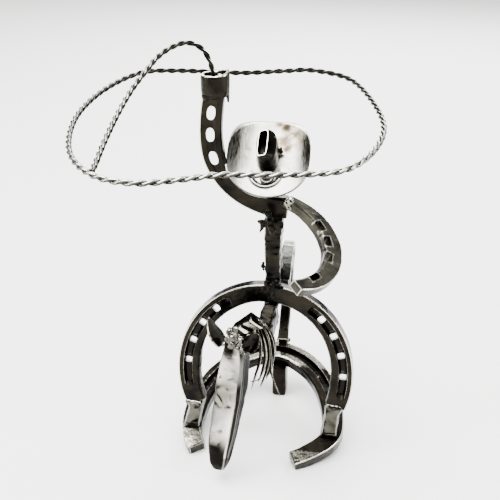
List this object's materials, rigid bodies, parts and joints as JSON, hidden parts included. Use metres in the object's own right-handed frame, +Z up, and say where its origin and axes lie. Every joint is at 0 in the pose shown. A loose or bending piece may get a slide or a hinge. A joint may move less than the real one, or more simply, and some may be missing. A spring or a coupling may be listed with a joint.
{
  "type": "scrap metal horse sculpture",
  "caption": "Roping rider on a horse, welded from cut horseshoes, bar ends, hat sheet and a twisted wire noose; free-standing table sculpture.",
  "frame": {"origin": "middle of the bounding box's underside, on the surface the sculpture stands on", "axes": "+Z up; the horse and rider face -Y; +X is to their left"},
  "size_m": [0.1804, 0.261, 0.3091],
  "materials": {
    "forged_steel": "dark forged and oxidised shoe steel under clear lacquer, edges worn bright",
    "polished_steel": "ground and mirror-polished steel, dark in the hollows",
    "sheet_steel": "polished thin steel sheet, lightly heat-tinted, dark at the rolled edges",
    "wire_rope": "twisted soft wire, bright on the crowns and dark between the strands"
  },
  "bodies": {
    "root": {"arch_shoe": "forged_steel", "left_boot": "polished_steel", "right_boot": "polished_steel", "base_shoe": "forged_steel", "hind_leg": "forged_steel", "torso_bar": "forged_steel", "body_shoe": "forged_steel", "horse_head": "polished_steel", "neck_bar": "forged_steel", "poll_piece": "forged_steel", "left_ear": "forged_steel", "right_ear": "forged_steel", "mane": "forged_steel", "lasso_arm": "forged_steel", "rein_arm": "forged_steel", "left_scarf_knot": "forged_steel", "right_scarf_knot": "forged_steel", "hand": "forged_steel", "hat_brim": "sheet_steel", "hat_crown": "forged_steel", "hat_button": "forged_steel", "lasso": "wire_rope"}
  },
  "joints": []
}
